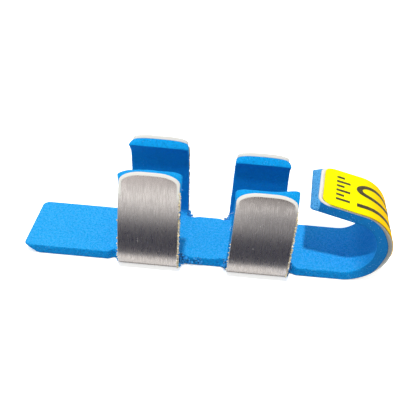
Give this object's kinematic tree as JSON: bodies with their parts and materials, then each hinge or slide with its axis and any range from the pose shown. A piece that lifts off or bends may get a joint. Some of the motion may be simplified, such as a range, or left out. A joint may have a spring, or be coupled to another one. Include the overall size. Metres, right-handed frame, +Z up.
{
  "type": "four-prong finger splint",
  "caption": "Bent aluminium finger splint with four finger prongs, a fingertip curl, foam bonded to its inner side and a plain size label.",
  "frame": {"origin": "middle of the footprint, on the surface that the splint's flat base lies on", "axes": "+X along the base towards the fingertip curl, +Y across it, +Z up, away from the flat metal underside"},
  "size_m": [0.073, 0.0212, 0.0214],
  "materials": {
    "aluminium": "brushed along the prongs",
    "foam": "matt closed-cell foam",
    "label": "smooth printed sticker"
  },
  "bodies": {
    "root": {"aluminium_splint": "aluminium", "foam_padding": "foam", "size_label": "label"}
  },
  "joints": []
}
